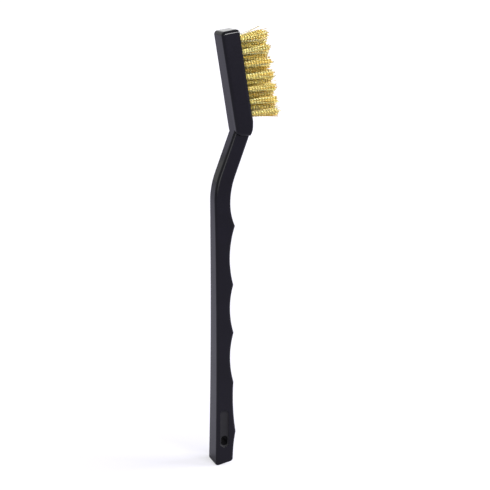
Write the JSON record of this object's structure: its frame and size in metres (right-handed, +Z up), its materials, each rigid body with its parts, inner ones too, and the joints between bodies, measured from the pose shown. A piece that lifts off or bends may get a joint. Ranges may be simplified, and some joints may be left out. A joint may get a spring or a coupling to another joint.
{
  "type": "spark plug wire brush",
  "caption": "Small hand brush: a moulded plastic handle with a finger grip, a bent neck and a leaning head that carries a block of crimped brass wire tufts.",
  "frame": {"origin": "bottom centre of the whole brush's bounding box, at the cut end of the handle", "axes": "+Z runs up the length of the handle to the head, +X is the way the wire points and Y runs across the width"},
  "size_m": [0.028, 0.0122, 0.1794],
  "materials": {
    "black_plastic": "black moulded plastic, satin to glossy",
    "brass_wire": "bright drawn and crimped brass wire",
    "anchor_steel": "flat cut wire"
  },
  "bodies": {
    "root": {"handle": "black_plastic", "wire_tuft_1_1": "brass_wire", "wire_tuft_1_2": "brass_wire", "wire_tuft_1_3": "brass_wire", "wire_tuft_1_4": "brass_wire", "wire_tuft_1_5": "brass_wire", "wire_tuft_1_6": "brass_wire", "wire_tuft_1_7": "brass_wire", "wire_tuft_2_1": "brass_wire", "wire_tuft_2_2": "brass_wire", "wire_tuft_2_3": "brass_wire", "wire_tuft_2_4": "brass_wire", "wire_tuft_2_5": "brass_wire", "wire_tuft_2_6": "brass_wire", "wire_tuft_3_1": "brass_wire", "wire_tuft_3_2": "brass_wire", "wire_tuft_3_3": "brass_wire", "wire_tuft_3_4": "brass_wire", "wire_tuft_3_5": "brass_wire", "wire_tuft_3_6": "brass_wire", "wire_tuft_3_7": "brass_wire", "tuft_anchor_1_1": "anchor_steel", "tuft_anchor_1_2": "anchor_steel", "tuft_anchor_1_3": "anchor_steel", "tuft_anchor_1_4": "anchor_steel", "tuft_anchor_1_5": "anchor_steel", "tuft_anchor_1_6": "anchor_steel", "tuft_anchor_1_7": "anchor_steel", "tuft_anchor_2_1": "anchor_steel", "tuft_anchor_2_2": "anchor_steel", "tuft_anchor_2_3": "anchor_steel", "tuft_anchor_2_4": "anchor_steel", "tuft_anchor_2_5": "anchor_steel", "tuft_anchor_2_6": "anchor_steel", "tuft_anchor_3_1": "anchor_steel", "tuft_anchor_3_2": "anchor_steel", "tuft_anchor_3_3": "anchor_steel", "tuft_anchor_3_4": "anchor_steel", "tuft_anchor_3_5": "anchor_steel", "tuft_anchor_3_6": "anchor_steel", "tuft_anchor_3_7": "anchor_steel"}
  },
  "joints": []
}
